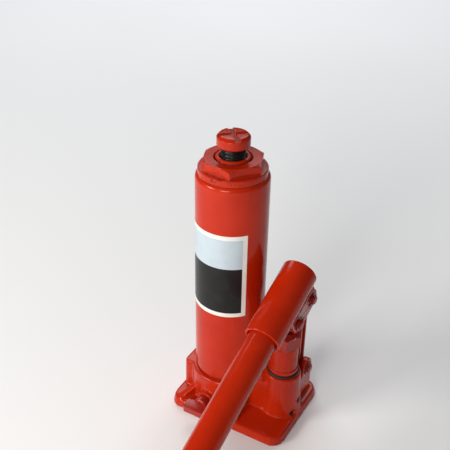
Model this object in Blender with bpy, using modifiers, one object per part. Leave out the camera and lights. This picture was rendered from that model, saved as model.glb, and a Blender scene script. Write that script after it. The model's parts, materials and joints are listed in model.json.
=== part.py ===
"""Hydraulic bottle jack with a built-in lever hand pump, as an assembly of separate pieces.

Metres, +Z up. The origin is on the main axis, at the underside of the base. The pump stands at +X, the
lever's handle points to -Y and the link that carries the lever's fulcrum stands behind the pump, at +Y.
Rest is the ram down, the lever at the bottom of its stroke and the extension screw a few turns out.
"""

import math

import bmesh
import bpy
from mathutils import Matrix, Quaternion, Vector

MM = 0.001
GAP = 0.3 * MM

# Facets round a large, a middling, an enclosed and a small circle.
FINE = 36
MEDIUM = 24
HIDDEN = 20
COARSE = 12

# Base casting
FOOT_LEFT = -38 * MM
FOOT_RIGHT = 74 * MM
FOOT_HALF_WIDTH = 44 * MM
FOOT_HEIGHT = 8 * MM
FOOT_CORNER = 12 * MM
ROOT = 3 * MM
DRUM_RADIUS = 33 * MM
BASE_TOP = 36 * MM
SPIGOT_RADIUS = 26.8 * MM
SPIGOT_TOP = 41 * MM
RECESS_RADIUS = 22.4 * MM
RECESS_FLOOR = 24 * MM
WING_LEFT = -36 * MM
WING_HALF_WIDTH = 21 * MM
WING_TOP = 35.4 * MM
WEB_HALF_WIDTH = 14.5 * MM
WEB_TOP = 40.6 * MM
RIB_THICKNESS = 6 * MM
RIB_ANGLES = (54, 126, 234, 306)

# Reservoir, pressure cylinder and nut
TUBE_RADIUS = 30 * MM
TUBE_WALL = 2.6 * MM
TUBE_FOOT = 38.3 * MM
SHOULDER_START = 221.5 * MM
TUBE_TOP = 229.2 * MM
TUBE_MOUTH = 25.6 * MM
CYLINDER_RADIUS = 22 * MM
CYLINDER_BORE = 18 * MM
CYLINDER_TOP = 222 * MM
COLLAR_RADIUS = 27.9 * MM
COLLAR_TOP = 234.9 * MM
NUT_TOP = 242.6 * MM
NUT_FLATS = 45.9 * MM
NUT_CHAMFER_RADIUS = 22.7 * MM
NUT_BORE = 15 * MM
NUT_MOUTH = 15.8 * MM
NUT_TURN = math.radians(-6.6)
SKIRT_FOOT = 212 * MM
FILLER_HEIGHT = 196 * MM
FILLER_ANGLE = math.radians(135)

# Ram and extension screw
RAM_RADIUS = 14.15 * MM
RAM_TOP = 243.7 * MM
RAM_SHOULDER = 62 * MM
RAM_FOOT = 40 * MM
RAM_SPIGOT = 9 * MM
SCREW_RADIUS = 10 * MM
SCREW_BORE = 10.4 * MM
SCREW_BORE_FLOOR = 168 * MM
SCREW_FOOT = 176.4 * MM
HEAD_RADIUS = 13.3 * MM
HEAD_FOOT = 251.8 * MM
HEAD_TOP = 261.7 * MM
HEAD_BEVEL = 2.2 * MM
HEAD_UNDERCUT = 1.2 * MM
GROOVE_WIDTH = 4.4 * MM
GROOVE_DEPTH = 2.6 * MM
GROOVE_ANGLE = math.radians(44)

# Pump
PUMP_X = 54.5 * MM
BOSS_TOP = 49.6 * MM
BOSS_RADIUS = 15.7 * MM
BOSS_ROOT_RADIUS = 18.3 * MM
PUMP_RADIUS = 12.1 * MM
PUMP_TOP = 79.5 * MM
PUMP_BORE = 6.35 * MM
PUMP_THREAD = 9.5 * MM
PUMP_SPIGOT_FOOT = 36 * MM
SOCKET_FLOOR = 33 * MM
SEAL_RADIUS = 14.2 * MM
SEAL_HEIGHT = 2.2 * MM
GLAND_FLATS = 25 * MM
GLAND_TOP = 93 * MM
PLUNGER_RADIUS = 6 * MM
PLUNGER_FOOT = 58 * MM

# Lever
DROOP = math.radians(21.5)
LEVER_AXIS_HEIGHT = 132.8 * MM
PIN_DROP = 26 * MM
PIN_SPACING = 26 * MM
PIN_RADIUS = 4 * MM
EYE_RADIUS = 9 * MM
PIN_DRIFT = 2.3 * MM
SOCKET_RADIUS = 15.2 * MM
SOCKET_BORE = 12.5 * MM
SOCKET_REAR = 6.8 * MM
SOCKET_MOUTH = -65 * MM
HANDLE_RADIUS = 12 * MM
HANDLE_WALL = 2 * MM
HANDLE_LENGTH = 280 * MM
HANDLE_INNER_END = -6 * MM
KEY_THICKNESS = 6 * MM
KEY_LENGTH = 10 * MM
CHEEK_THICKNESS = 4 * MM
CHEEK_INNER = 7.6 * MM
LINK_HALF_WIDTH = 6.5 * MM
LINK_EYE = 7.5 * MM
LINK_WAIST = 5.2 * MM
LUG_INNER = 7 * MM
LUG_OUTER = 13 * MM
LUG_EYE = 9.5 * MM
FOOT_PIN_HEIGHT = 38 * MM

# Galleries and valves in the base
ANNULUS = 24.6 * MM
RETURN_RADIUS = 1.3 * MM
GALLERY_RADIUS = 2.2 * MM
SUCTION_HEIGHT = 21 * MM
CHAMBER_FLOOR = 27 * MM
CHAMBER_RADIUS = 5 * MM
DELIVERY_HEIGHT = 11 * MM
DELIVERY_X = 10 * MM
DELIVERY_Y = -7.3 * MM
DELIVERY_SEAT = 13.6 * MM
DELIVERY_POCKET = 3 * MM
PLUG_RADIUS = 2.6 * MM
VALVE_X = -3 * MM
VALVE_HEIGHT = 15 * MM
VALVE_SEAT = 14 * MM
VALVE_BOSS_RADIUS = 8 * MM
VALVE_BOSS_END = -38 * MM
STEM_RADIUS = 4 * MM
RELIEF_BORE = 3.5 * MM
SEAT_RADIUS = 1.3 * MM
BALL_RADIUS = 2.2 * MM

# Places that follow from these
PLUNGER_PIN_HEIGHT = LEVER_AXIS_HEIGHT - PIN_DROP / math.cos(DROOP)
FULCRUM_Y = PIN_SPACING * math.cos(DROOP)
FULCRUM_HEIGHT = PLUNGER_PIN_HEIGHT + PIN_SPACING * math.sin(DROOP)
LINK_LENGTH = FULCRUM_HEIGHT - FOOT_PIN_HEIGHT
SEAL_FOOT = BOSS_TOP + GAP
PUMP_FOOT = SEAL_FOOT + SEAL_HEIGHT + GAP

# Turns that lay a flat outline, or a turned piece, along another axis
UPRIGHT_YZ = (math.pi / 2, 0, math.pi / 2)
UPRIGHT_XZ = (math.pi / 2, 0, 0)
ALONG_MINUS_Y = (math.pi / 2, 0, 0)
ALONG_X = (0, math.pi / 2, 0)


def clear_scene():
    for old in list(bpy.data.objects):
        bpy.data.objects.remove(old, do_unlink=True)


def new_collection(name):
    collection = bpy.data.collections.new(name)
    bpy.context.scene.collection.children.link(collection)
    return collection


def new_material(name, colour, roughness, metallic):
    material = bpy.data.materials.new(name)
    material.use_nodes = True
    shader = material.node_tree.nodes["Principled BSDF"]
    shader.inputs["Base Color"].default_value = (*colour, 1)
    shader.inputs["Roughness"].default_value = roughness
    shader.inputs["Metallic"].default_value = metallic
    return material


clear_scene()
PARTS = new_collection("hydraulic_bottle_jack")
TOOLS = new_collection("cutters")
RED = new_material("red_paint", (0.56, 0.018, 0.012), 0.25, 0)
BLACK = new_material("black_oxide_steel", (0.02, 0.02, 0.022), 0.45, 0.8)
STEEL = new_material("bright_steel", (0.55, 0.55, 0.56), 0.3, 1)
ZINC = new_material("zinc_plate", (0.62, 0.61, 0.58), 0.38, 1)
RUBBER = new_material("black_rubber", (0.015, 0.015, 0.015), 0.6, 0)
POLYURETHANE = new_material("seal_polyurethane", (0.45, 0.3, 0.05), 0.5, 0)
COPPER = new_material("copper", (0.7, 0.3, 0.18), 0.35, 1)


def add_object(name, mesh, parent=None, location=(0, 0, 0), rotation=(0, 0, 0)):
    piece = bpy.data.objects.new(name, mesh)
    piece.parent = parent
    piece.location = location
    piece.rotation_euler = rotation
    PARTS.objects.link(piece)
    return piece


def pivot(name, location, rotation=(0, 0, 0)):
    """An empty on a joint's axis, to which the pieces of that moving body are parented."""
    return add_object(name, None, None, location, rotation)


def as_tool(piece):
    """Puts a helper shape among the cutters, out of the renders."""
    PARTS.objects.unlink(piece)
    TOOLS.objects.link(piece)
    piece.hide_render = True
    piece.display_type = "WIRE"
    return piece


def turned(name, profile, steps, closed=True, **place):
    """Turns (radius, height) points about the piece's own Z; the outer side runs from top to bottom."""
    mesh = bpy.data.meshes.new(name)
    count = len(profile)
    edges = [(i, i + 1) for i in range(count - 1)]
    if closed:
        edges.append((count - 1, 0))
    mesh.from_pydata([(radius, 0, height) for radius, height in profile], edges, [])
    piece = add_object(name, mesh, **place)
    screw = piece.modifiers.new("turn", "SCREW")
    screw.steps = steps
    screw.render_steps = steps
    screw.use_merge_vertices = True
    screw.merge_threshold = 0.00001
    return piece


def solid_turned(name, profile, steps, **place):
    """A turned piece whose profile starts and ends on its axis."""
    return turned(name, profile, steps, closed=False, **place)


def ring(name, inner, outer, low, high, steps, edge=0.0, **place):
    """A plain ring, with its outer edges cut off by edge."""
    profile = [(inner, high), (outer - edge, high), (outer, high - edge), (outer, low + edge)]
    profile += [(outer - edge, low), (inner, low)]
    if not edge:
        profile = [(inner, high), (outer, high), (outer, low), (inner, low)]
    return turned(name, profile, steps, **place)


def arc(centre, radius, start, end, steps):
    """Points on an arc, with its angles in degrees."""
    angles = [math.radians(start + (end - start) * i / steps) for i in range(steps + 1)]
    return [(centre[0] + radius * math.cos(a), centre[1] + radius * math.sin(a)) for a in angles]


def circle(centre, radius, steps):
    return arc(centre, radius, 0, 360, steps)[:-1]


def to_mesh(piece):
    """The evaluated mesh of an object, with its loose caps welded."""
    graph = bpy.context.evaluated_depsgraph_get()
    mesh = bpy.data.meshes.new_from_object(piece.evaluated_get(graph))
    work = bmesh.new()
    work.from_mesh(mesh)
    bmesh.ops.remove_doubles(work, verts=work.verts, dist=0.000005)
    bmesh.ops.recalc_face_normals(work, faces=work.faces)
    work.to_mesh(mesh)
    work.free()
    return mesh


def plate(name, outlines, thickness, **place):
    """A flat plate: the first outline is its edge, the others are holes; its plane is half way through it."""
    curve = bpy.data.curves.new(name, "CURVE")
    curve.dimensions = "2D"
    curve.fill_mode = "BOTH"
    curve.extrude = thickness / 2
    for outline in outlines:
        spline = curve.splines.new("POLY")
        spline.points.add(len(outline) - 1)
        for point, (x, y) in zip(spline.points, outline):
            point.co = (x, y, 0, 1)
        spline.use_cyclic_u = True
    drawn = bpy.data.objects.new(name, curve)
    PARTS.objects.link(drawn)
    mesh = to_mesh(drawn)
    bpy.data.objects.remove(drawn, do_unlink=True)
    return add_object(name, mesh, **place)


def rod(name, radius, start, end, steps, parent=None):
    """A plain round bar between two points."""
    start, end = Vector(start), Vector(end)
    mesh = bpy.data.meshes.new(name)
    work = bmesh.new()
    length = (end - start).length
    bmesh.ops.create_cone(
        work, cap_ends=True, segments=steps, radius1=radius, radius2=radius, depth=length
    )
    turn = Vector((0, 0, 1)).rotation_difference(end - start).to_matrix().to_4x4()
    bmesh.ops.transform(work, matrix=Matrix.Translation((start + end) / 2) @ turn, verts=work.verts)
    work.to_mesh(mesh)
    work.free()
    return add_object(name, mesh, parent)


def ball(name, radius, centre):
    mesh = bpy.data.meshes.new(name)
    work = bmesh.new()
    bmesh.ops.create_uvsphere(work, u_segments=10, v_segments=6, radius=radius)
    work.to_mesh(mesh)
    work.free()
    return add_object(name, mesh, location=centre)


def block(name, low, high, taper=0.0, corner=0.0, edge=0.0, **place):
    """A box whose sides lean in by taper, with rounded upright corners and a rounded top edge."""
    low, high = Vector(low), Vector(high)
    mesh = bpy.data.meshes.new(name)
    work = bmesh.new()
    size = Matrix.Diagonal((*(high - low), 1))
    bmesh.ops.create_cube(work, size=1, matrix=Matrix.Translation((low + high) / 2) @ size)
    middle = (low + high) / 2
    for vert in work.verts:
        if vert.co.z > middle.z:
            vert.co.x -= math.copysign(taper, vert.co.x - middle.x)
            vert.co.y -= math.copysign(taper, vert.co.y - middle.y)
    if corner:
        upright = [e for e in work.edges if abs(e.verts[0].co.z - e.verts[1].co.z) > (high - low).z / 2]
        bmesh.ops.bevel(work, geom=upright, offset=corner, segments=4, profile=0.5, affect="EDGES")
    if edge:
        top = [e for e in work.edges if all(v.co.z > high.z - 0.00001 for v in e.verts)]
        bmesh.ops.bevel(work, geom=top, offset=edge, segments=2, profile=0.5, affect="EDGES")
    work.to_mesh(mesh)
    work.free()
    return add_object(name, mesh, **place)


def boolean(target, tool, operation):
    modifier = target.modifiers.new(tool.name, "BOOLEAN")
    modifier.operation = operation
    modifier.object = as_tool(tool)


def join(target, *tools):
    for tool in tools:
        boolean(target, tool, "UNION")


def cut(target, *tools):
    for tool in tools:
        boolean(target, tool, "DIFFERENCE")


def hexagon(flats):
    """Corner points of a hexagon with one corner at +X."""
    return circle((0, 0), flats / math.sqrt(3), 6)


def hex_trim(target, name, flats, low, high, turn=0.0, centre=(0, 0)):
    """Cuts six flats on a turned piece between two heights."""
    reach = 2 * flats
    around = [(-reach, -reach), (reach, -reach), (reach, reach), (-reach, reach)]
    place = (centre[0], centre[1], (low + high) / 2)
    tool = plate(name, [around, hexagon(flats)], high - low, location=place, rotation=(0, 0, turn))
    cut(target, tool)


def spring(name, wire, radius, length, turns, **place):
    """A compression spring along its own Z, as one unbroken wire; prints the least gap between turns."""
    per_turn = 8
    count = turns * per_turn
    curve = bpy.data.curves.new(name, "CURVE")
    curve.dimensions = "3D"
    curve.bevel_depth = wire
    curve.bevel_resolution = 1
    curve.use_fill_caps = True
    line = curve.splines.new("POLY")
    line.points.add(count)
    points = []
    for i, point in enumerate(line.points):
        angle = 2 * math.pi * i / per_turn
        height = wire + (length - 2 * wire) * i / count
        points.append(Vector((radius * math.cos(angle), radius * math.sin(angle), height)))
        point.co = (*points[-1], 1)
    apart = [(a - b).length for i, a in enumerate(points) for b in points[i + per_turn // 2 :]]
    print(f"{name}: least gap to itself {1000 * (min(apart) - 2 * wire):.2f} mm")
    drawn = bpy.data.objects.new(name, curve)
    PARTS.objects.link(drawn)
    mesh = to_mesh(drawn)
    bpy.data.objects.remove(drawn, do_unlink=True)
    return add_object(name, mesh, **place)


def settle(piece, material):
    """Fixes a piece's modifiers into its mesh, gives it its material and shades its round faces smooth."""
    graph = bpy.context.evaluated_depsgraph_get()
    mesh = bpy.data.meshes.new_from_object(piece.evaluated_get(graph))
    piece.modifiers.clear()
    piece.data = mesh
    mesh.name = piece.name
    mesh.materials.clear()
    mesh.materials.append(material)
    mesh.shade_smooth()
    mesh.set_sharp_from_angle(angle=math.radians(32))


def rib(angle):
    """A gusset that slopes from the drum down to the foot, along one direction from the main axis."""
    root = DRUM_RADIUS - 5 * MM
    tip = 49 * MM
    outline = [(root, ROOT), (tip, ROOT), (tip, FOOT_HEIGHT + 0.6 * MM)]
    outline += [(DRUM_RADIUS, 19 * MM), (root, 21 * MM)]
    turn = (math.pi / 2, 0, math.radians(angle))
    return plate(f"rib_{angle}", [outline], RIB_THICKNESS, rotation=turn)


def link_lug(name, side):
    """One of the two ears behind the pump boss that hold the link's foot pin."""
    front, back = 5 * MM, FULCRUM_Y + LUG_EYE
    top = arc((FULCRUM_Y, FOOT_PIN_HEIGHT), LUG_EYE, 0, 180, 10)
    outline = [(front, ROOT), (back, ROOT)] + top + [(10 * MM, 31 * MM), (front, 31 * MM)]
    place = (PUMP_X + side * (LUG_INNER + LUG_OUTER) / 2, 0, 0)
    return plate(name, [outline], LUG_OUTER - LUG_INNER, location=place, rotation=UPRIGHT_YZ)


def base_casting():
    drum = [
        (0, SPIGOT_TOP),
        (SPIGOT_RADIUS, SPIGOT_TOP),
        (SPIGOT_RADIUS, BASE_TOP),
        (DRUM_RADIUS - 1.2 * MM, BASE_TOP),
        (DRUM_RADIUS, BASE_TOP - 1.2 * MM),
        (DRUM_RADIUS + 0.8 * MM, ROOT),
        (0, ROOT),
    ]
    base = solid_turned("base_casting", drum, FINE)
    foot = block(
        "foot",
        (FOOT_LEFT, -FOOT_HALF_WIDTH, 0),
        (FOOT_RIGHT, FOOT_HALF_WIDTH, FOOT_HEIGHT),
        taper=1.5 * MM,
        corner=FOOT_CORNER,
        edge=1.6 * MM,
    )
    wing = block(
        "wing",
        (WING_LEFT, -WING_HALF_WIDTH, ROOT),
        (0, WING_HALF_WIDTH, WING_TOP),
        taper=0.4 * MM,
        corner=5 * MM,
        edge=1.5 * MM,
    )
    step = BASE_TOP - 1 * MM
    web_side = [(20 * MM, ROOT), (PUMP_X, ROOT), (PUMP_X, WEB_TOP), (33.5 * MM, WEB_TOP)]
    web_side += [(31.5 * MM, step), (20 * MM, step)]
    web = plate("web", [web_side], 2 * WEB_HALF_WIDTH, rotation=UPRIGHT_XZ)
    boss_side = [(0, BOSS_TOP), (BOSS_RADIUS - 1 * MM, BOSS_TOP), (BOSS_RADIUS, BOSS_TOP - 1 * MM)]
    boss_side += [(BOSS_ROOT_RADIUS, ROOT), (0, ROOT)]
    boss = solid_turned("pump_boss", boss_side, MEDIUM, location=(PUMP_X, 0, 0))
    valve_boss = rod(
        "valve_boss",
        VALVE_BOSS_RADIUS,
        (VALVE_X, -DRUM_RADIUS / 2, VALVE_HEIGHT),
        (VALVE_X, VALVE_BOSS_END, VALVE_HEIGHT),
        MEDIUM,
    )
    join(base, foot, wing, web, boss, link_lug("lug_left", -1), link_lug("lug_right", 1), valve_boss)
    join(base, *[rib(angle) for angle in RIB_ANGLES])
    cut(base, *base_galleries())
    cut(base, rod_across("foot_pin_hole", PIN_RADIUS + GAP, FULCRUM_Y, FOOT_PIN_HEIGHT, 30 * MM))
    settle(base, RED)


def rod_across(name, radius, y, height, length, parent=None, x=PUMP_X):
    """A bar along X, centred on the lever's plane."""
    half = length / 2
    return rod(name, radius, (x - half, y, height), (x + half, y, height), COARSE, parent)


def drill(name, mouth, way, *bores):
    """A stepped drill: each bore is a radius and its depth below the mouth, with the widest bore first."""
    profile = [(0, 0)]
    depth = 0
    for radius, end in bores:
        profile += [(radius, -depth), (radius, -end)]
        depth = end
    profile.append((0, -depth))
    widest = bores[0][0]
    steps = FINE if widest > 20 * MM else MEDIUM if widest > 4 * MM else COARSE
    tool = solid_turned(name, profile, steps, location=mouth)
    half_facet = Quaternion((0, 0, 1), math.pi / steps)
    tool.rotation_euler = ((-Vector(way)).to_track_quat("Z", "Y") @ half_facet).to_euler()
    return tool


def base_galleries():
    """The bored recess and the drilled ways in the base: pump, suction, delivery, release and relief."""
    right = FOOT_RIGHT + 6 * MM
    above = 60 * MM
    floor = RECESS_FLOOR + 2 * MM
    outside = 60 * MM
    plug = (PLUG_RADIUS + GAP, right - 63 * MM)
    over = 1 * MM
    left, rear, front, down = (-1, 0, 0), (0, -1, 0), (0, 1, 0), (0, 0, -1)
    seat = outside - VALVE_SEAT
    rise = outside - 5 * MM + over
    suction = (GALLERY_RADIUS, right - ANNULUS + over)
    to_suction = above - SUCTION_HEIGHT + over
    to_delivery = above - DELIVERY_HEIGHT + over
    to_valves = above - VALVE_HEIGHT + over
    return [
        drill("cylinder_recess", (0, 0, above), down, (RECESS_RADIUS, above - RECESS_FLOOR)),
        drill(
            "pump_socket",
            (PUMP_X, 0, above),
            down,
            (PUMP_THREAD + 0.4 * MM, above - SOCKET_FLOOR),
            (CHAMBER_RADIUS, above - CHAMBER_FLOOR),
            (SEAT_RADIUS, to_suction),
        ),
        drill("suction_way", (right, 0, SUCTION_HEIGHT), left, plug, suction),
        drill("suction_drop", (ANNULUS, 0, above), down, (RETURN_RADIUS, to_suction)),
        drill(
            "delivery_way",
            (right, DELIVERY_Y, DELIVERY_HEIGHT),
            left,
            plug,
            (GALLERY_RADIUS, right - DELIVERY_X + over),
        ),
        drill("delivery_drop", (PUMP_X, DELIVERY_Y, above), down, (1.8 * MM, to_delivery)),
        drill(
            "delivery_pocket",
            (DELIVERY_X, DELIVERY_Y, floor),
            down,
            (DELIVERY_POCKET, floor - DELIVERY_SEAT),
            (SEAT_RADIUS, floor - DELIVERY_HEIGHT + over),
        ),
        drill(
            "release_bore",
            (VALVE_X, -outside, VALVE_HEIGHT),
            front,
            (STEM_RADIUS + GAP, seat),
            (SEAT_RADIUS, rise),
        ),
        drill("release_rise", (VALVE_X, -5 * MM, floor), down, (2 * MM, floor - VALVE_HEIGHT + over)),
        drill("release_return", (VALVE_X, -ANNULUS, above), down, (RETURN_RADIUS, to_valves)),
        drill(
            "relief_bore",
            (VALVE_X, outside, VALVE_HEIGHT),
            rear,
            (RELIEF_BORE, seat),
            (SEAT_RADIUS, rise),
        ),
        drill("relief_rise", (VALVE_X, 5 * MM, floor), down, (2 * MM, floor - VALVE_HEIGHT + over)),
    ]


def reservoir():
    shoulder = TUBE_TOP - SHOULDER_START
    rolled = [math.radians(90 * i / 6) for i in range(7)]
    inward = TUBE_RADIUS - COLLAR_RADIUS
    outer = [
        (COLLAR_RADIUS + inward * math.sin(angle), SHOULDER_START + shoulder * math.cos(angle))
        for angle in rolled
    ]
    bore = TUBE_RADIUS - TUBE_WALL
    profile = outer + [
        (TUBE_RADIUS, TUBE_FOOT + 0.8 * MM),
        (TUBE_RADIUS - 0.8 * MM, TUBE_FOOT),
        (bore, TUBE_FOOT),
        (bore, SHOULDER_START),
        (TUBE_MOUTH, SHOULDER_START + 4.5 * MM),
        (TUBE_MOUTH, TUBE_TOP),
    ]
    tube = turned("reservoir_tube", profile, FINE)
    way = Vector((math.cos(FILLER_ANGLE), math.sin(FILLER_ANGLE), 0))
    middle = Vector((0, 0, FILLER_HEIGHT))
    cut(tube, rod("filler_hole", 5 * MM, middle + 20 * MM * way, middle + 40 * MM * way, COARSE))
    settle(tube, RED)
    gasket = ring("base_gasket", SPIGOT_RADIUS + GAP, 28.4 * MM, BASE_TOP + GAP, TUBE_FOOT - GAP, MEDIUM)
    settle(gasket, RUBBER)
    seat = TUBE_RADIUS + GAP
    head = seat + 2.4 * MM
    plug_side = [(0, head), (5 * MM, head), (7.5 * MM, head - 1.2 * MM), (7.5 * MM, seat)]
    plug_side += [(4.6 * MM, seat), (4.6 * MM, 27.9 * MM), (3.4 * MM, 25 * MM), (0, 25 * MM)]
    plug = solid_turned(
        "filler_plug", plug_side, COARSE, location=middle, rotation=(0, math.pi / 2, FILLER_ANGLE)
    )
    settle(plug, RUBBER)


def pressure_cylinder():
    low = RECESS_FLOOR + GAP
    high = low + 1.1 * MM
    hole = CYLINDER_BORE + GAP
    settle(ring("cylinder_foot_washer", hole, CYLINDER_RADIUS, low, high, HIDDEN), COPPER)
    tube = ring("pressure_cylinder", CYLINDER_BORE, CYLINDER_RADIUS, high + GAP, CYLINDER_TOP, HIDDEN)
    settle(tube, STEEL)


def top_nut():
    corner = NUT_FLATS / math.sqrt(3)
    chamfer = (corner - NUT_CHAMFER_RADIUS) * math.tan(math.radians(30))
    floor = CYLINDER_TOP + 1.6 * MM
    wiper_low, wiper_high, wiper_groove = 230.6 * MM, 236 * MM, 17.6 * MM
    skirt = TUBE_MOUTH - GAP
    profile = [
        (NUT_MOUTH, NUT_TOP),
        (NUT_CHAMFER_RADIUS, NUT_TOP),
        (corner + 0.2 * MM, NUT_TOP - chamfer),
        (corner + 0.2 * MM, COLLAR_TOP),
        (COLLAR_RADIUS - 0.5 * MM, COLLAR_TOP),
        (COLLAR_RADIUS, COLLAR_TOP - 0.8 * MM),
        (COLLAR_RADIUS, TUBE_TOP + GAP),
        (skirt, TUBE_TOP + GAP),
        (skirt, 221 * MM),
        (24.2 * MM, 221 * MM),
        (24.2 * MM, 218.4 * MM),
        (skirt, 218.4 * MM),
        (skirt, SKIRT_FOOT),
        (CYLINDER_RADIUS + GAP, SKIRT_FOOT),
        (CYLINDER_RADIUS + GAP, floor),
        (NUT_BORE, floor),
        (NUT_BORE, wiper_low),
        (wiper_groove, wiper_low),
        (wiper_groove, wiper_high),
        (NUT_BORE, wiper_high),
        (NUT_BORE, NUT_TOP - (NUT_MOUTH - NUT_BORE)),
    ]
    nut = turned("top_nut", profile, FINE)
    hex_trim(nut, "nut_flats", NUT_FLATS, COLLAR_TOP + 0.05 * MM, NUT_TOP + 2 * MM, NUT_TURN)
    settle(nut, RED)
    low, high = wiper_low + GAP, wiper_high - GAP
    settle(ring("ram_wiper", RAM_RADIUS + GAP, wiper_groove - GAP, low, high, MEDIUM), POLYURETHANE)
    seal = ring("top_nut_seal", 24.5 * MM, TUBE_MOUTH + 1.2 * MM, 218.7 * MM, 220.7 * MM, MEDIUM)
    settle(seal, RUBBER)


def ram():
    chamfer = 1.2 * MM
    groove_low, groove_high, groove = 41.2 * MM, 42.9 * MM, 7.6 * MM
    profile = [
        (0, SCREW_BORE_FLOOR),
        (SCREW_BORE, SCREW_BORE_FLOOR),
        (SCREW_BORE, RAM_TOP - chamfer),
        (SCREW_BORE + chamfer, RAM_TOP),
        (RAM_RADIUS - chamfer, RAM_TOP),
        (RAM_RADIUS, RAM_TOP - chamfer),
        (RAM_RADIUS, RAM_SHOULDER),
        (RAM_SPIGOT, RAM_SHOULDER),
        (RAM_SPIGOT, groove_high),
        (groove, groove_high),
        (groove, groove_low),
        (RAM_SPIGOT, groove_low),
        (RAM_SPIGOT, RAM_FOOT),
        (0, RAM_FOOT),
    ]
    settle(solid_turned("ram", profile, MEDIUM), STEEL)
    hole = RAM_SPIGOT + GAP
    body = CYLINDER_BORE - GAP
    piston = ring("piston", hole, body, 50 * MM, RAM_SHOULDER - GAP, HIDDEN, edge=0.8 * MM)
    settle(piston, STEEL)
    cup_side = [(hole, 49.7 * MM), (body, 49.7 * MM), (body, 45.2 * MM), (body - 1.8 * MM, 45.2 * MM)]
    cup_side += [(body - 3 * MM, 47.6 * MM), (hole, 47.6 * MM)]
    settle(turned("piston_cup_seal", cup_side, HIDDEN), POLYURETHANE)
    washer = ring("piston_washer", hole, 13.6 * MM, 43.2 * MM, 47.3 * MM, HIDDEN)
    settle(washer, STEEL)
    clip = ring("piston_snap_ring", groove + GAP, 11.4 * MM, groove_low + GAP, groove_high - GAP, HIDDEN)
    settle(clip, STEEL)


def extension_screw():
    neck = 7.4 * MM
    ring_low, ring_high = SCREW_FOOT + 2 * MM, SCREW_FOOT + 4.2 * MM
    chamfer = 1.5 * MM
    profile = [
        (0, HEAD_TOP),
        (HEAD_RADIUS - HEAD_BEVEL, HEAD_TOP),
        (HEAD_RADIUS, HEAD_TOP - HEAD_BEVEL),
        (HEAD_RADIUS, HEAD_FOOT + HEAD_UNDERCUT),
        (HEAD_RADIUS - HEAD_UNDERCUT, HEAD_FOOT),
        (SCREW_RADIUS, HEAD_FOOT),
        (SCREW_RADIUS, ring_high + GAP + chamfer),
        (SCREW_RADIUS - chamfer, ring_high + GAP),
        (neck, ring_high + GAP),
        (neck, ring_low - GAP),
        (SCREW_RADIUS - 0.6 * MM, ring_low - GAP),
        (SCREW_RADIUS - 0.6 * MM, SCREW_FOOT),
        (0, SCREW_FOOT),
    ]
    screw = solid_turned("extension_screw", profile, MEDIUM)
    for i in range(2):
        reach = 2 * HEAD_RADIUS
        low = (-reach, -GROOVE_WIDTH / 2, HEAD_TOP - GROOVE_DEPTH)
        high = (reach, GROOVE_WIDTH / 2, HEAD_TOP + 2 * MM)
        turn = (0, 0, GROOVE_ANGLE + i * math.pi / 2)
        cut(screw, block(f"head_groove_{i}", low, high, taper=-0.6 * MM, rotation=turn))
    settle(screw, RED)
    stop = ring("screw_stop_ring", neck + GAP, SCREW_RADIUS, ring_low, ring_high, HIDDEN)
    settle(stop, STEEL)


def pump():
    place = (PUMP_X, 0, 0)
    seal = ring(
        "pump_seal_ring",
        PUMP_THREAD + GAP,
        SEAL_RADIUS,
        SEAL_FOOT,
        PUMP_FOOT - GAP,
        MEDIUM,
        edge=0.7 * MM,
        location=place,
    )
    settle(seal, RUBBER)
    thread_top = GLAND_TOP - 4.5 * MM
    profile = [
        (PUMP_BORE, thread_top),
        (PUMP_THREAD, thread_top),
        (PUMP_THREAD, PUMP_TOP),
        (PUMP_RADIUS - 0.8 * MM, PUMP_TOP),
        (PUMP_RADIUS, PUMP_TOP - 0.8 * MM),
        (PUMP_RADIUS, PUMP_FOOT + 4 * MM),
        (PUMP_RADIUS + 1 * MM, PUMP_FOOT + 3.4 * MM),
        (PUMP_RADIUS + 1 * MM, PUMP_FOOT),
        (PUMP_THREAD, PUMP_FOOT),
        (PUMP_THREAD, PUMP_SPIGOT_FOOT),
        (PUMP_BORE, PUMP_SPIGOT_FOOT),
    ]
    settle(turned("pump_cylinder", profile, MEDIUM, location=place), RED)
    corner = GLAND_FLATS / math.sqrt(3)
    packing_low, packing_high = thread_top + GAP, thread_top + 1.8 * MM
    inside = PUMP_THREAD + GAP
    nut_side = [
        (PUMP_BORE, GLAND_TOP),
        (GLAND_FLATS / 2 - 0.6 * MM, GLAND_TOP),
        (corner + 0.1 * MM, GLAND_TOP - 1.6 * MM),
        (corner + 0.1 * MM, PUMP_TOP + GAP),
        (inside, PUMP_TOP + GAP),
        (inside, packing_high + GAP),
        (PUMP_BORE, packing_high + GAP),
    ]
    nut = turned("pump_gland_nut", nut_side, MEDIUM, location=place)
    hex_trim(nut, "gland_flats", GLAND_FLATS, PUMP_TOP - 2 * MM, GLAND_TOP + 2 * MM, centre=(PUMP_X, 0))
    settle(nut, ZINC)
    outside = inside - GAP
    packing = ring("plunger_packing", PUMP_BORE, outside, packing_low, packing_high, HIDDEN, location=place)
    settle(packing, POLYURETHANE)


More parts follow.
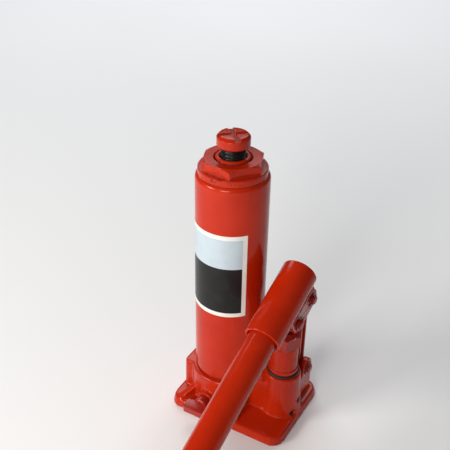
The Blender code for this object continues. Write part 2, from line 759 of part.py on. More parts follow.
def plunger():
    slide = pivot("plunger_axis", (PUMP_X, 0, PLUNGER_PIN_HEIGHT))
    foot = PLUNGER_FOOT - PLUNGER_PIN_HEIGHT
    groove_low, groove_high, groove = foot + 3 * MM, foot + 6 * MM, 4.4 * MM
    profile = [
        (0, -4 * MM),
        (PLUNGER_RADIUS, -4 * MM),
        (PLUNGER_RADIUS, groove_high),
        (groove, groove_high),
        (groove, groove_low),
        (PLUNGER_RADIUS, groove_low),
        (PLUNGER_RADIUS, foot + 0.8 * MM),
        (PLUNGER_RADIUS - 0.8 * MM, foot),
        (0, foot),
    ]
    bar = solid_turned("plunger", profile, HIDDEN, parent=slide)
    rim = circle((0, 0), EYE_RADIUS, MEDIUM)
    eye = plate("plunger_eye", [rim], 14 * MM, parent=slide, rotation=UPRIGHT_YZ)
    slot_radius = PIN_RADIUS + 0.4 * MM
    slot = arc((0, 0), slot_radius, -90, 90, 8) + arc((-PIN_DRIFT, 0), slot_radius, 90, 270, 8)
    join(bar, eye)
    cut(bar, plate("eye_slot", [slot], 20 * MM, parent=slide, rotation=UPRIGHT_YZ))
    settle(bar, STEEL)
    seal = ring(
        "plunger_seal",
        groove + GAP,
        PLUNGER_RADIUS + 0.05 * MM,
        groove_low + GAP,
        groove_high - GAP,
        HIDDEN,
        parent=slide,
    )
    settle(seal, RUBBER)


def fulcrum_link():
    """The dog-bone bar that carries the lever's fulcrum; its origin is its foot pin."""
    sway = pivot("link_axis", (PUMP_X, FULCRUM_Y, FOOT_PIN_HEIGHT))
    flank = math.degrees(math.acos(LINK_WAIST / LINK_EYE))
    lower = arc((0, 0), LINK_EYE, 180 - flank, 360 + flank, 18)
    upper = arc((0, LINK_LENGTH), LINK_EYE, -flank, 180 + flank, 18)
    holes = [circle((0, y), PIN_RADIUS + GAP, COARSE) for y in (0, LINK_LENGTH)]
    outlines = [lower + upper] + holes
    bar = plate("fulcrum_link", outlines, 2 * LINK_HALF_WIDTH, parent=sway, rotation=UPRIGHT_YZ)
    recess_radius = LINK_WAIST - 2.2 * MM
    low, high = LINK_EYE + 6 * MM, LINK_LENGTH - LINK_EYE - 6 * MM
    outline = arc((0, low), recess_radius, 180, 360, 8) + arc((0, high), recess_radius, 0, 180, 8)
    depth = 3.5 * MM
    for side in (-1, 1):
        recess = plate(f"link_recess_{side}", [outline], 2 * depth, parent=sway, rotation=UPRIGHT_YZ)
        recess.location.x = side * LINK_HALF_WIDTH
        cut(bar, recess)
    settle(bar, RED)


def pin_with_clip(name, place, reach, parent=None):
    """A clevis pin along X, headed at -X and clipped in a groove at +X; reach is half its grip."""
    groove, head = 3 * MM, 6 * MM
    clip_low = reach + GAP
    clip_high = clip_low + 1 * MM
    tail = clip_high + 2 * MM
    profile = [
        (0, tail),
        (PIN_RADIUS - 0.6 * MM, tail),
        (PIN_RADIUS, tail - 0.6 * MM),
        (PIN_RADIUS, clip_high + GAP),
        (groove, clip_high + GAP),
        (groove, clip_low - GAP),
        (PIN_RADIUS, clip_low - GAP),
        (PIN_RADIUS, -reach - GAP),
        (head, -reach - GAP),
        (head, -reach - 2 * MM),
        (head - 0.8 * MM, -reach - 2.6 * MM),
        (0, -reach - 2.6 * MM),
    ]
    settle(solid_turned(name, profile, COARSE, parent=parent, location=place, rotation=ALONG_X), ZINC)
    clip = ring(name + "_clip", groove + GAP, 6.2 * MM, clip_low, clip_high, COARSE, parent=parent)
    clip.location = place
    clip.rotation_euler = ALONG_X
    settle(clip, BLACK)


def cheek(name, side, fulcrum):
    """One side plate of the fork under the socket: an ear at each pin, and a top edge cut to the tube."""
    ear = EYE_RADIUS
    shoulder = PIN_DROP - SOCKET_RADIUS + 8 * MM
    rear = arc((0, 0), ear, -90, 40, 8)
    front = arc((-PIN_SPACING, 0), ear, 180, 270, 8)
    outline = rear + [(4 * MM, shoulder), (-PIN_SPACING - 14 * MM, shoulder)] + front
    holes = [circle((y, 0), PIN_RADIUS + GAP, COARSE) for y in (0, -PIN_SPACING)]
    side_plate = plate(name, [outline] + holes, CHEEK_THICKNESS, parent=fulcrum, rotation=UPRIGHT_YZ)
    side_plate.location.x = side * (CHEEK_INNER + CHEEK_THICKNESS / 2)
    tube = rod(
        name + "_seat",
        SOCKET_RADIUS + GAP,
        (0, SOCKET_MOUTH, PIN_DROP),
        (0, 30 * MM, PIN_DROP),
        MEDIUM,
        fulcrum,
    )
    cut(side_plate, tube)
    settle(side_plate, RED)


def lever():
    fulcrum = pivot("lever_axis", (PUMP_X, FULCRUM_Y, FULCRUM_HEIGHT), (DROOP, 0, 0))
    mouth, rear = -SOCKET_MOUTH, -SOCKET_REAR
    stop = -HANDLE_INNER_END - GAP
    profile = [
        (SOCKET_BORE + 1 * MM, mouth),
        (SOCKET_RADIUS - 0.6 * MM, mouth),
        (SOCKET_RADIUS, mouth - 0.6 * MM),
        (SOCKET_RADIUS, rear + 1 * MM),
        (SOCKET_RADIUS - 1 * MM, rear),
        (HANDLE_RADIUS - HANDLE_WALL, rear),
        (HANDLE_RADIUS - HANDLE_WALL, stop),
        (SOCKET_BORE, stop),
        (SOCKET_BORE, mouth - 1 * MM),
    ]
    tube = turned("handle_socket", profile, MEDIUM, parent=fulcrum, rotation=ALONG_MINUS_Y)
    tube.location.z = PIN_DROP
    settle(tube, RED)
    cheek("socket_cheek_left", -1, fulcrum)
    cheek("socket_cheek_right", 1, fulcrum)
    grip = CHEEK_INNER + CHEEK_THICKNESS
    pin_with_clip("plunger_pin", (0, -PIN_SPACING, 0), grip, fulcrum)
    pin_with_clip("fulcrum_pin", (0, 0, 0), grip, fulcrum)
    handle(fulcrum)


def handle(fulcrum):
    """The pump handle: a tube with a slot across its outer end, which also turns the release valve."""
    inner = -HANDLE_INNER_END
    outer = inner + HANDLE_LENGTH
    wall = HANDLE_RADIUS - HANDLE_WALL
    profile = [
        (wall, outer),
        (HANDLE_RADIUS - 0.5 * MM, outer),
        (HANDLE_RADIUS, outer - 0.5 * MM),
        (HANDLE_RADIUS, inner + 0.8 * MM),
        (HANDLE_RADIUS - 0.8 * MM, inner),
        (wall, inner),
    ]
    tube = turned("handle_tube", profile, MEDIUM, parent=fulcrum, rotation=ALONG_MINUS_Y)
    tube.location.z = PIN_DROP
    reach = 2 * HANDLE_RADIUS
    half_slot = KEY_THICKNESS / 2 + 0.4 * MM
    slot_low = (-reach, -outer - 5 * MM, PIN_DROP - half_slot)
    slot_high = (reach, -outer + KEY_LENGTH + 2 * MM, PIN_DROP + half_slot)
    cut(tube, block("key_slot", slot_low, slot_high, parent=fulcrum))
    settle(tube, RED)


def socket_screw(name, radius, length, **place):
    """A headless plug or screw along its own Z, with a drilled drive in its outer end."""
    drive = 0.5 * radius
    profile = [(0, length - 2.4 * MM), (drive, length - 1.6 * MM), (drive, length)]
    profile += [(radius, length), (radius, 0), (0, 0)]
    settle(solid_turned(name, profile, COARSE, **place), BLACK)


def base_valves():
    """The balls on their seats, with their springs, and what closes each drilled way."""
    on_seat = math.sqrt(BALL_RADIUS**2 - SEAT_RADIUS**2) + GAP
    over_seat = on_seat + BALL_RADIUS + GAP
    settle(ball("suction_ball", BALL_RADIUS, (PUMP_X, 0, CHAMBER_FLOOR + on_seat)), STEEL)
    low, high = SPIGOT_TOP + GAP, SPIGOT_TOP + GAP + 0.8 * MM
    screen = ring("suction_screen", 0.6 * MM, 2.2 * MM, low, high, COARSE, location=(ANNULUS, 0, 0))
    settle(screen, ZINC)
    socket_screw("suction_plug", PLUG_RADIUS, 6 * MM, location=(65 * MM, 0, SUCTION_HEIGHT), rotation=ALONG_X)
    place = (63.4 * MM, DELIVERY_Y, DELIVERY_HEIGHT)
    socket_screw("delivery_plug", PLUG_RADIUS, 6 * MM, location=place, rotation=ALONG_X)

    settle(ball("delivery_ball", BALL_RADIUS, (DELIVERY_X, DELIVERY_Y, DELIVERY_SEAT + on_seat)), STEEL)
    low = DELIVERY_SEAT + over_seat
    coil_length = 4 * MM
    place = (DELIVERY_X, DELIVERY_Y, low)
    settle(spring("delivery_spring", 0.3 * MM, 1.7 * MM, coil_length, 3, location=place), STEEL)
    low += coil_length + GAP
    place = (DELIVERY_X, DELIVERY_Y, 0)
    rim = DELIVERY_POCKET - GAP
    holder = ring("delivery_retainer", 0.9 * MM, rim, low, RECESS_FLOOR - GAP, COARSE, location=place)
    settle(holder, STEEL)

    along_y = (-math.pi / 2, 0, 0)
    settle(ball("relief_ball", BALL_RADIUS, (VALVE_X, VALVE_SEAT + on_seat, VALVE_HEIGHT)), STEEL)
    start = VALVE_SEAT + over_seat
    coil_length = 6 * MM
    place = (VALVE_X, start, VALVE_HEIGHT)
    coil = spring("relief_spring", 0.35 * MM, 1.9 * MM, coil_length, 4, location=place, rotation=along_y)
    settle(coil, STEEL)
    place = (VALVE_X, start + coil_length + GAP, VALVE_HEIGHT)
    socket_screw("relief_screw", RELIEF_BORE - GAP, 6 * MM, location=place, rotation=along_y)
    settle(ball("release_ball", BALL_RADIUS, (VALVE_X, -VALVE_SEAT - on_seat, VALVE_HEIGHT)), STEEL)


def release_valve():
    """The release screw in the base's front; its outer end is a cross key that the handle's slot fits."""
    axis = pivot("release_axis", (VALVE_X, 0, VALVE_HEIGHT))
    ball_face = VALVE_SEAT + math.sqrt(BALL_RADIUS**2 - SEAT_RADIUS**2) + GAP + BALL_RADIUS
    tip = ball_face + GAP
    groove_low, groove_high, groove = 30 * MM, 33 * MM, 2.8 * MM
    head_low, head_high, head = -VALVE_BOSS_END + GAP, 46 * MM, 6.6 * MM
    profile = [
        (0, head_high),
        (head - 0.8 * MM, head_high),
        (head, head_high - 0.8 * MM),
        (head, head_low + 0.6 * MM),
        (head - 0.6 * MM, head_low),
        (STEM_RADIUS, head_low),
        (STEM_RADIUS, groove_high),
        (groove, groove_high),
        (groove, groove_low),
        (STEM_RADIUS, groove_low),
        (STEM_RADIUS, tip + 2 * MM),
        (1.6 * MM, tip),
        (0, tip),
    ]
    screw = solid_turned("release_valve_screw", profile, HIDDEN, parent=axis, rotation=ALONG_MINUS_Y)
    key_low = (-HANDLE_RADIUS, -head_high - KEY_LENGTH, -KEY_THICKNESS / 2)
    key_high = (HANDLE_RADIUS, -head_high + 1 * MM, KEY_THICKNESS / 2)
    join(screw, block("cross_key", key_low, key_high, corner=2.5 * MM, parent=axis))
    settle(screw, BLACK)
    seal = ring(
        "release_valve_seal",
        groove + GAP,
        STEM_RADIUS + 0.05 * MM,
        groove_low + GAP,
        groove_high - GAP,
        COARSE,
        parent=axis,
        rotation=ALONG_MINUS_Y,
    )
    settle(seal, RUBBER)


base_casting()
reservoir()
pressure_cylinder()
top_nut()
ram()
extension_screw()
pump()
plunger()
fulcrum_link()
pin_with_clip("link_foot_pin", (PUMP_X, FULCRUM_Y, FOOT_PIN_HEIGHT), LUG_OUTER)
lever()
base_valves()
release_valve()
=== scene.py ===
"""Looks of the hydraulic bottle jack: finer skins over its turned pieces, a cast base, the screw's thread,
welds, a plain two-tone label and the finish of every surface, with the camera and soft studio light.
"""

import json
import math

import bmesh
import bpy
from mathutils import Matrix, Vector

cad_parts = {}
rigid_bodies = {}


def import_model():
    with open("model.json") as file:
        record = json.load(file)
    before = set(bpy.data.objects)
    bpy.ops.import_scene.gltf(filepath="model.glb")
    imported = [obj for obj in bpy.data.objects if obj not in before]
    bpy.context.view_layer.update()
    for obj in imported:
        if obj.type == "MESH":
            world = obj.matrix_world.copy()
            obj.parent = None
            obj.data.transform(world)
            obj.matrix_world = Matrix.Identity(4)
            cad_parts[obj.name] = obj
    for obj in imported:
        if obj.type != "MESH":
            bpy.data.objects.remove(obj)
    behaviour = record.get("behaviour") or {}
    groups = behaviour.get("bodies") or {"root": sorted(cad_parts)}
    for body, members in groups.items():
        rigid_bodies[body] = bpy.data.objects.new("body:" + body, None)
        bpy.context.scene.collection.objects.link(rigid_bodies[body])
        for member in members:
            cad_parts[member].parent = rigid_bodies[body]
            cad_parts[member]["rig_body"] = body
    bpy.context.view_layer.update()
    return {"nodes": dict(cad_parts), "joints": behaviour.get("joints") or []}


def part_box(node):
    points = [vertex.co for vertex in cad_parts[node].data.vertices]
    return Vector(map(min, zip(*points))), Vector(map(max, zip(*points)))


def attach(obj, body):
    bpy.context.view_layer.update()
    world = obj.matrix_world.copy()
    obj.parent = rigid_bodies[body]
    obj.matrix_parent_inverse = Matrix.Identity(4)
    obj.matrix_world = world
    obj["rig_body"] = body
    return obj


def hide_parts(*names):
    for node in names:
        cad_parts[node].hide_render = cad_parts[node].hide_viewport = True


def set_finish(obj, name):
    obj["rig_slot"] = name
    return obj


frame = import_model()
NODES = frame["nodes"]
JOINTS = {joint["name"]: joint for joint in frame["joints"]}
MM = 0.001
IMAGE_SIDE = 450

# Camera, as it stood for the photograph: angles in degrees, distances in metres from the ram's axis.
CAMERA_AZIMUTH = 29
CAMERA_PITCH = 31.66
CAMERA_ROLL = 1.25
CAMERA_DISTANCE = 0.5272
CAMERA_HEIGHT = 0.5051
FOCAL_PIXELS = 760
CENTRE_PIXEL_X = 231.83
SENSOR_MM = 36

# Light: the room, two softboxes at angles in degrees from the camera, and a sheet over the far floor.
ROOM_LIGHT = 0.1
LEFT_BOX_SIDE = -68
FRONT_BOX_SIDE = -24
BOX_DISTANCE = 1.2
BOX_HEIGHT = 0.66
BOX_SIZE = (0.5, 0.3)
BOX_AIM = (0, 0, 0.14)
BOX_WATTS = 9.8
BACK_SHEET_SIZE = (2.6, 1.0)
BACK_SHEET_WATTS = 30
BACK_SHEET_DISTANCE = 1.6
BACK_SHEET_HEIGHT = 1.5
FAR_FLOOR_DISTANCE = 1.2
WARM_WHITE = (1, 0.95, 0.87)
NEUTRAL_WHITE = (1, 1, 1)
FLOOR_HALF_WIDTH = 20
FLOOR_DROP = 0.4 * MM

# Label on the reservoir tube: angles round the ram's axis in degrees.
LABEL_MIDDLE = -98
LABEL_HALF_WIDTH = 62
LABEL_TOP = 187.4 * MM
LABEL_DIVIDE = 156.3 * MM
LABEL_FOOT = 108.5 * MM
LABEL_BORDER = 3.8 * MM
LABEL_LIFT = 0.05 * MM
LABEL_THICKNESS = 0.14 * MM
LABEL_COLUMNS = 40

# Extension screw: a black thread under a red head with a cross of two grooves.
THREAD_PITCH = 3 * MM
THREAD_DEPTH = 1.5 * MM
THREAD_RADIUS = 10 * MM
THREAD_FOOT = 184 * MM
THREAD_ROWS_PER_TURN = 10
FLANK_SLOPE = 2.4
CREST_SHARE = 0.1
SHANK_TIP_RADIUS = 9.4 * MM
SHANK_TIP_HEIGHT = 1.7 * MM
SHANK_GROOVE_RADIUS = 7.4 * MM
SHANK_GROOVE_TOP = 4.5 * MM
SHANK_LEAD_RADIUS = 8.5 * MM
SHANK_LEAD_TOP = 6 * MM
HEAD_FOOT = 251.8 * MM
HEAD_BEVEL = 2.2 * MM
HEAD_UNDERCUT = 1.2 * MM
HEAD_ROUNDING = 1.1 * MM
GROOVE_WIDTH = 4.4 * MM
GROOVE_DEPTH = 2 * MM
GROOVE_ANGLE = 44

# Top nut: a hexagon on a round collar, with a skirt inside the reservoir tube.
NUT_FLATS = 45.9 * MM
NUT_CHAMFER_RADIUS = 22.7 * MM
NUT_TURN = -6.6
NUT_MOUTH = 15.8 * MM
NUT_BORE = 15 * MM
COLLAR_TOP = 234.9 * MM
COLLAR_FOOT = 229.5 * MM
COLLAR_RADIUS = 27.9 * MM
SKIRT_RADIUS = 25.3 * MM
SKIRT_BORE = 22.3 * MM
SKIRT_CEILING = 223.6 * MM
COLLAR_EDGE = 0.8 * MM
COLLAR_EDGE_INSET = 0.6 * MM
GLAND_FLATS = 25 * MM
GLAND_CHAMFER_RADIUS = 11.9 * MM
GLAND_BORE = 6.4 * MM
GLAND_THREAD = 9.8 * MM
GLAND_CEILING = 90.6 * MM
CHAMFER_SLOPE = math.tan(math.radians(30))
COLUMNS_PER_FLAT = 16

# Lever: distances along the socket's axis run from beside the fulcrum towards the handle's far end.
PINS_TO_TUBE = 26 * MM
SOCKET_RADIUS = 15.2 * MM
HANDLE_RADIUS = 12 * MM
HANDLE_WALL = 2 * MM
HANDLE_START = 6 * MM
HANDLE_LENGTH = 280 * MM
KEY_SLOT_WIDTH = 6.8 * MM
KEY_SLOT_DEPTH = 12 * MM
WELD_START = -3 * MM
WELD_END = 37 * MM
WELD_RADIUS = 2.1 * MM
WELD_RIPPLE = 2.3 * MM
WELD_RIPPLE_SHARE = 0.13
WELD_WAVE = 7.1 * MM
WELD_WAVE_SHARE = 0.08
WELD_END_SHARE = 0.25
WELD_TAPER = 6
WELD_TILT = 0.35
WELD_STEPS = 90
WELD_SIDES = 10

# Pin clips: an open ring of spring steel with three prongs that reach in to the pin's groove.
CLIP_WIDTH = 1.5 * MM
CLIP_PRONG_RADIUS = 3.3 * MM
CLIP_OPENING = math.radians(70)
CLIP_PRONG_SPREAD = 0.3
CLIP_PRONG_INSET = 0.17
CLIP_STEPS = 60

# Reservoir tube, with its rolled shoulder and the filler hole, and the ram inside it.
TUBE_WALL = 2.6 * MM
TUBE_MOUTH = 25.6 * MM
SHOULDER_RADIUS = 4.2 * MM
SHOULDER_SWEEP = 60
SHOULDER_STEPS = 10
SHOULDER_LIP_RISE = 0.1 * MM
SHOULDER_LIP = 27.6 * MM
MOUTH_DEPTH = 3.2 * MM
MOUTH_TAPER_FOOT = 7.7 * MM
TUBE_FOOT_EDGE = 0.8 * MM
FILLER_HEIGHT = 196 * MM
FILLER_ANGLE = 135
FILLER_HOLE = 5 * MM
DRILL_REACH = 10 * MM
PAINTED_RAM_TOP = 3 * MM

# Facets round a turned piece, and the cells that the casting is drawn again in.
FULL_ROUND = 96
TUBE_ROUND = 144
HANDLE_ROUND = 64
SMALL_ROUND = 48
DRILL_ROUND = 32
CASTING_CELL = 0.9 * MM
CASTING_RELAX_STEPS = 7

# Points nearer the axis than this are taken as on it, and points within this angle as on the profile.
ON_AXIS = 0.02 * MM
ON_PROFILE = 0.001

# Corners that turn by less than this stay sharp. An arc takes at most this share of each side next to it.
LEAST_TURN = math.radians(12)
ARC_SHARE = 0.42


class Shade:
    """A shader value: arithmetic on it adds Math nodes to its finish."""

    def __init__(self, finish, socket):
        self.finish = finish
        self.socket = socket

    def step(self, operation, first, second):
        node = self.finish.node("ShaderNodeMath", {"operation": operation}, {0: first, 1: second})
        return Shade(self.finish, node.outputs[0])

    def __add__(self, other):
        return self.step("ADD", self, other)

    __radd__ = __add__

    def __sub__(self, other):
        return self.step("SUBTRACT", self, other)

    def __rsub__(self, other):
        return self.step("SUBTRACT", other, self)

    def __mul__(self, other):
        return self.step("MULTIPLY", self, other)

    __rmul__ = __mul__

    def __truediv__(self, other):
        return self.step("DIVIDE", self, other)

    def __rtruediv__(self, other):
        return self.step("DIVIDE", other, self)

    def between(self, low, high):
        """0 at low and 1 at high, with a smooth run between them."""
        settings = {"interpolation_type": "SMOOTHSTEP"}
        inputs = {"Value": self, "From Min": low, "From Max": high}
        node = self.finish.node("ShaderNodeMapRange", settings, inputs)
        return Shade(self.finish, node.outputs["Result"])


class Finish:
    """One material: a Principled shader, with the nodes that vary it over the surface."""

    def __init__(self, name, **constants):
        self.material = bpy.data.materials.new(name)
        self.material.use_nodes = True
        self.tree = self.material.node_tree
        self.shader = self.tree.nodes["Principled BSDF"]
        for socket, value in constants.items():
            self.shader.inputs[socket.replace("_", " ")].default_value = value
        self.place = self.node("ShaderNodeTexCoord").outputs["Object"]

    def node(self, kind, settings=None, sockets=None):
        """Adds a node: its settings are set first, then each socket is given a value or a link."""
        node = self.tree.nodes.new(kind)
        for name, value in (settings or {}).items():
            setattr(node, name, value)
        for key, value in (sockets or {}).items():
            self.feed(node.inputs[key], value)
        return node

    def feed(self, socket, value):
        if isinstance(value, Shade):
            value = value.socket
        if isinstance(value, bpy.types.NodeSocket):
            self.tree.links.new(value, socket)
        else:
            socket.default_value = value

    def set(self, name, value):
        self.feed(self.shader.inputs[name], value)

    def stretched(self, stretch):
        """The surface's own coordinates, with each axis multiplied by its number."""
        node = self.node("ShaderNodeVectorMath", {"operation": "MULTIPLY"}, {0: self.place, 1: stretch})
        return node.outputs["Vector"]

    def noise(self, size, detail=2.0, roughness=0.5, where=None):
        """Cloudy noise whose patches are about size metres across."""
        sockets = {"Vector": where or self.place, "Scale": 1 / size, "Detail": detail, "Roughness": roughness}
        return Shade(self, self.node("ShaderNodeTexNoise", None, sockets).outputs["Fac"])

    def edges(self, radius):
        """1 on sharp edges and 0 on flat or gently curved ground, over about radius on each side."""
        soft = self.node("ShaderNodeBevel", {"samples": 4}, {"Radius": radius}).outputs["Normal"]
        flat = self.node("ShaderNodeNewGeometry").outputs["Normal"]
        dot = self.node("ShaderNodeVectorMath", {"operation": "DOT_PRODUCT"}, {0: soft, 1: flat})
        return (1 - Shade(self, dot.outputs["Value"])).between(0.01, 0.2)

    def mix(self, mask, first, second):
        """A colour that goes from first to second as mask goes from 0 to 1."""
        first, second = (tone + (1.0,) if isinstance(tone, tuple) else tone for tone in (first, second))
        node = self.node("ShaderNodeMix", {"data_type": "RGBA"}, {0: mask, 6: first, 7: second})
        return node.outputs[2]

    def bump(self, height, strength, distance):
        inputs = {"Height": height, "Strength": strength, "Distance": distance}
        node = self.node("ShaderNodeBump", None, inputs)
        self.set("Normal", node.outputs["Normal"])


# Colours of the enamel, the overspray, the phosphate and the floor: linear red, green and blue.
DEEP_RED = (0.43, 0.017, 0.002)
BRIGHT_RED = (0.50, 0.022, 0.003)
SCUFFED_RED = (0.55, 0.07, 0.05)
THIN_RED = (0.26, 0.006, 0.004)
GRIMY_RED = (0.05, 0.006, 0.004)
CHIPPED_STEEL = (0.22, 0.15, 0.14)
SPRAYED_DARK = (0.28, 0.007, 0.003)
SPRAYED_LIGHT = (0.40, 0.011, 0.004)
BLACKENED_STEEL = (0.02, 0.018, 0.018)
PHOSPHATE_DARK = (0.006, 0.006, 0.007)
PHOSPHATE_LIGHT = (0.022, 0.021, 0.022)
RUBBED_CREST = (0.10, 0.10, 0.10)
FLOOR_DARK = (0.86, 0.88, 0.91)
FLOOR_LIGHT = (0.89, 0.91, 0.94)


def red_enamel(name, chipping=0.55, grain=0.0, dirt=0.0):
    """Glossy red enamel: an uneven coat, dull scuffs, chips along edges and, on castings, a rough skin."""
    paint = Finish(name, Specular_IOR_Level=0.24)
    clouds = paint.noise(35 * MM, 3)
    specks = paint.noise(2.2 * MM, 4, 0.65)
    fine = paint.noise(1.1 * MM, 2)
    coat = paint.mix(clouds.between(0.3, 0.7), DEEP_RED, BRIGHT_RED)
    scuffs = paint.noise(3 * MM, 3, 0.6, paint.stretched((1, 1, 0.12))).between(0.66, 0.8)
    coat = paint.mix(scuffs * 0.1, coat, SCUFFED_RED)
    edge = paint.edges(0.7 * MM)
    chips = (edge * (specks + clouds * 0.35)).between(chipping, chipping + 0.1)
    thin = (edge * 0.2) * (1 - chips)
    coat = paint.mix(thin, coat, THIN_RED)
    coat = paint.mix(chips, coat, CHIPPED_STEEL)
    pits = paint.noise(1.9 * MM, 3, 0.6).between(0.56, 0.64) * clouds.between(0.42, 0.55)
    coat = paint.mix(pits * dirt, coat, GRIMY_RED)
    paint.set("Base Color", coat)
    paint.set("Roughness", 0.13 + clouds * 0.08 + scuffs * 0.15 + chips * 0.3)
    paint.set("Metallic", chips * 0.55)
    if grain:
        skin = paint.noise(3.5 * MM, 4, 0.6) * grain + fine * 0.12
        paint.bump(skin - chips * 0.2, 0.55, 0.35 * MM)
    else:
        paint.bump(fine * 0.4 + clouds * 0.6 - chips * 0.5, 0.22, 0.12 * MM)
    return paint.material


def oversprayed(name, under, rough, cover):
    """A small part sprayed over after assembly, with the metal bare where the enamel missed or wore off."""
    skin = Finish(name)
    patches = skin.noise(3.5 * MM, 4, 0.6)
    cloud = skin.noise(12 * MM, 2)
    edge = skin.edges(0.4 * MM)
    bare = (patches + edge * 0.25).between(cover, cover + 0.12)
    paint = skin.mix(cloud, SPRAYED_DARK, SPRAYED_LIGHT)
    skin.set("Base Color", skin.mix(bare, paint, under))
    skin.set("Roughness", 0.26 + cloud * 0.12 + bare * rough)
    skin.bump(patches, 0.15, 0.12 * MM)
    return skin.material


def bare_steel(name, colour, rough, stretch=(1, 1, 1), oil=0.0, stain=0.6):
    """Machined or plated steel: fine tool marks along one way, stains and brighter edges."""
    steel = Finish(name, Metallic=1.0, Coat_Weight=oil, Coat_Roughness=0.15)
    marks = steel.noise(0.9 * MM, 3, 0.6, steel.stretched(stretch))
    stains = steel.noise(12 * MM, 4, 0.6)
    edge = steel.edges(0.5 * MM)
    dark = tuple(stain * c for c in colour)
    light = tuple(min(1.0, 1.25 * c + 0.02) for c in colour)
    tone = steel.mix(stains.between(0.3, 0.75), dark, colour)
    tone = steel.mix(edge * 0.6, tone, light)
    steel.set("Base Color", tone)
    steel.set("Roughness", rough + marks * 0.16 + stains * 0.1 - edge * 0.08)
    steel.bump(marks, 0.12, 0.08 * MM)
    return steel.material


def black_phosphate(name):
    """Black phosphate on a cut thread, oily, rubbed brighter on the crests."""
    skin = Finish(name, Metallic=0.7, Coat_Weight=0.4, Coat_Roughness=0.2)
    cloud = skin.noise(4 * MM, 3)
    edge = skin.edges(0.4 * MM)
    tone = skin.mix(cloud, PHOSPHATE_DARK, PHOSPHATE_LIGHT)
    tone = skin.mix(edge * 0.35, tone, RUBBED_CREST)
    skin.set("Base Color", tone)
    skin.set("Roughness", 0.34 + cloud * 0.18)
    skin.bump(cloud, 0.1, 0.1 * MM)
    return skin.material


def moulded(name, dark, light, rough):
    """Rubber or polyurethane: faint mould bloom and a slightly pebbled skin."""
    skin = Finish(name, Specular_IOR_Level=0.35)
    bloom = skin.noise(6 * MM, 4)
    pebble = skin.noise(0.7 * MM, 2)
    skin.set("Base Color", skin.mix(bloom.between(0.35, 0.75), dark, light))
    skin.set("Roughness", rough + bloom * 0.2)
    skin.bump(pebble, 0.15, 0.1 * MM)
    return skin.material


def printed_vinyl(name, colour):
    """A glossy printed label: one flat colour, a little worn, with faint ripples where it was rubbed on."""
    vinyl = Finish(name, Specular_IOR_Level=0.2)
    wear = vinyl.noise(9 * MM, 4, 0.6)
    ripple = vinyl.noise(20 * MM, 2)
    worn = tuple(0.9 * c + 0.008 for c in colour)
    vinyl.set("Base Color", vinyl.mix(wear.between(0.45, 0.8), colour, worn))
    vinyl.set("Roughness", 0.24 + wear * 0.12)
    vinyl.bump(ripple, 0.1, 0.15 * MM)
    return vinyl.material


def studio_floor(name):
    floor = Finish(name)
    cloud = floor.noise(400 * MM, 2)
    floor.set("Base Color", floor.mix(cloud, FLOOR_DARK, FLOOR_LIGHT))
    floor.set("Roughness", 0.55 + cloud * 0.1)
    return floor.material


ENAMEL = red_enamel("red_enamel")
CAST_ENAMEL = red_enamel("red_enamel_on_casting", chipping=0.6, grain=0.7)
WORN_ENAMEL = red_enamel("red_enamel_worn", chipping=0.46, dirt=0.7)
PAINTED_GASKET = oversprayed("gasket_under_enamel", (0.02, 0.012, 0.012), rough=0.3, cover=0.6)
PAINTED_PIN = oversprayed("pin_under_enamel", (0.30, 0.27, 0.25), rough=0.1, cover=0.62)
PAINTED_KEY = oversprayed("valve_key_under_enamel", BLACKENED_STEEL, rough=0.2, cover=0.64)
PAINTED_CLIP = oversprayed("clip_under_enamel", BLACKENED_STEEL, rough=0.2, cover=0.5)
GROUND_TONE = (0.56, 0.56, 0.57)
GROUND_STEEL = bare_steel("ground_steel", GROUND_TONE, rough=0.17, stretch=(1, 1, 8), oil=0.3, stain=0.85)
ZINC = bare_steel("zinc_plate", (0.62, 0.60, 0.55), rough=0.3)
BLACK_STEEL = bare_steel("black_oxide", (0.03, 0.03, 0.033), rough=0.35, oil=0.2)
PHOSPHATE = black_phosphate("black_phosphate")
RUBBER = moulded("black_rubber", (0.012, 0.012, 0.012), (0.03, 0.03, 0.03), rough=0.45)
POLYURETHANE = moulded("seal_polyurethane", (0.38, 0.24, 0.04), (0.48, 0.32, 0.07), rough=0.4)
COPPER = bare_steel("copper", (0.7, 0.3, 0.18), rough=0.3)
LABEL_WHITE = printed_vinyl("label_white", (0.80, 0.80, 0.78))
LABEL_BLUE = printed_vinyl("label_pale_blue", (0.50, 0.60, 0.68))
LABEL_BLACK = printed_vinyl("label_black", (0.012, 0.012, 0.013))

SLOT_OF = {
    ENAMEL: "red_paint",
    CAST_ENAMEL: "red_paint",
    WORN_ENAMEL: "red_paint",
    GROUND_STEEL: "bright_steel",
    ZINC: "zinc_plate",
    BLACK_STEEL: "black_oxide_steel",
    PHOSPHATE: "black_oxide_steel",
    PAINTED_GASKET: "black_rubber",
    PAINTED_PIN: "zinc_plate",
    PAINTED_CLIP: "black_oxide_steel",
    PAINTED_KEY: "black_oxide_steel",
    RUBBER: "black_rubber",
    POLYURETHANE: "seal_polyurethane",
    COPPER: "copper",
    LABEL_WHITE: "red_paint",
}


def piece_from(name, mesh, body, finish, *stands_for, smooth=35):
    """A new piece that rides on a body and may stand for CAD nodes."""
    mesh.materials.clear()
    mesh.materials.append(finish)
    mesh.shade_smooth()
    mesh.set_sharp_from_angle(angle=math.radians(smooth))
    piece = bpy.data.objects.new(name, mesh)
    bpy.context.scene.collection.objects.link(piece)
    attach(piece, body)
    if stands_for:
        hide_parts(*stands_for)
    if finish in SLOT_OF:
        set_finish(piece, SLOT_OF[finish])
    return piece


def mesh_from(work, name):
    mesh = bpy.data.meshes.new(name)
    bmesh.ops.recalc_face_normals(work, faces=work.faces)
    work.to_mesh(mesh)
    work.free()
    return mesh


def body_of(node):
    return NODES[node]["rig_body"]


